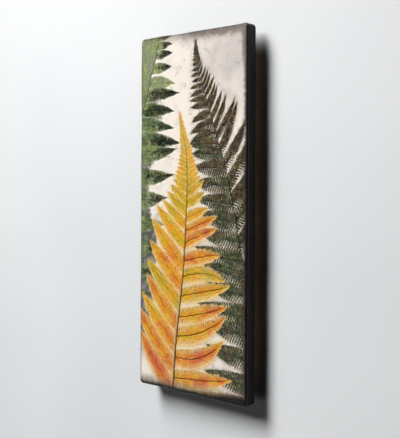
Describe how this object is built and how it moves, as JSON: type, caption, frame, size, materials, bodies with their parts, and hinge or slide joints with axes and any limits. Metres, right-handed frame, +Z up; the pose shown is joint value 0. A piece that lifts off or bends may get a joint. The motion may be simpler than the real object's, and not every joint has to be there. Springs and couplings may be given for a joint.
{
  "type": "ceramic wall plaque",
  "caption": "Tall stoneware wall plaque with fern fronds pressed into its face and stained with glazes, held off the wall by a slim timber frame with a keyhole hanger.",
  "frame": {"origin": "in the wall plane, where the wall screw seats at the top of the keyhole slot, on the plaque's vertical centre line", "axes": "+Z up along the plaque's height, +Y into the wall, so the pressed face looks along -Y, and +X to a viewer's right"},
  "size_m": [0.203, 0.0318, 0.508],
  "materials": {
    "stoneware": "cream stoneware under a thin satin glaze, speckled, with dark oxide rubbed into its edges; fern impressions stained gold, orange, sage and olive black",
    "fern_glaze": "washes of gold, orange, sage and olive-black glaze pooled in the impressions",
    "pine": "plain sanded softwood",
    "zinc_steel": "zinc plated",
    "adhesive": "cured off-white construction adhesive, satin",
    "felt": "dark pressed felt"
  },
  "bodies": {
    "root": {"plaque": "stoneware", "frame_left_stile": "pine", "frame_right_stile": "pine", "frame_top_rail": "pine", "frame_middle_rail": "pine", "frame_bottom_rail": "pine", "keyhole_plate": "zinc_steel", "plate_screw_upper": "zinc_steel", "plate_screw_lower": "zinc_steel", "screw_top_left": "zinc_steel", "screw_top_right": "zinc_steel", "screw_middle_left": "zinc_steel", "screw_middle_right": "zinc_steel", "screw_bottom_left": "zinc_steel", "screw_bottom_right": "zinc_steel", "adhesive_upper_left": "adhesive", "adhesive_upper_right": "adhesive", "adhesive_middle_left": "adhesive", "adhesive_middle_right": "adhesive", "adhesive_lower_left": "adhesive", "adhesive_lower_right": "adhesive", "bumper_upper_left": "felt", "bumper_upper_right": "felt", "bumper_lower_left": "felt", "bumper_lower_right": "felt"}
  },
  "joints": []
}
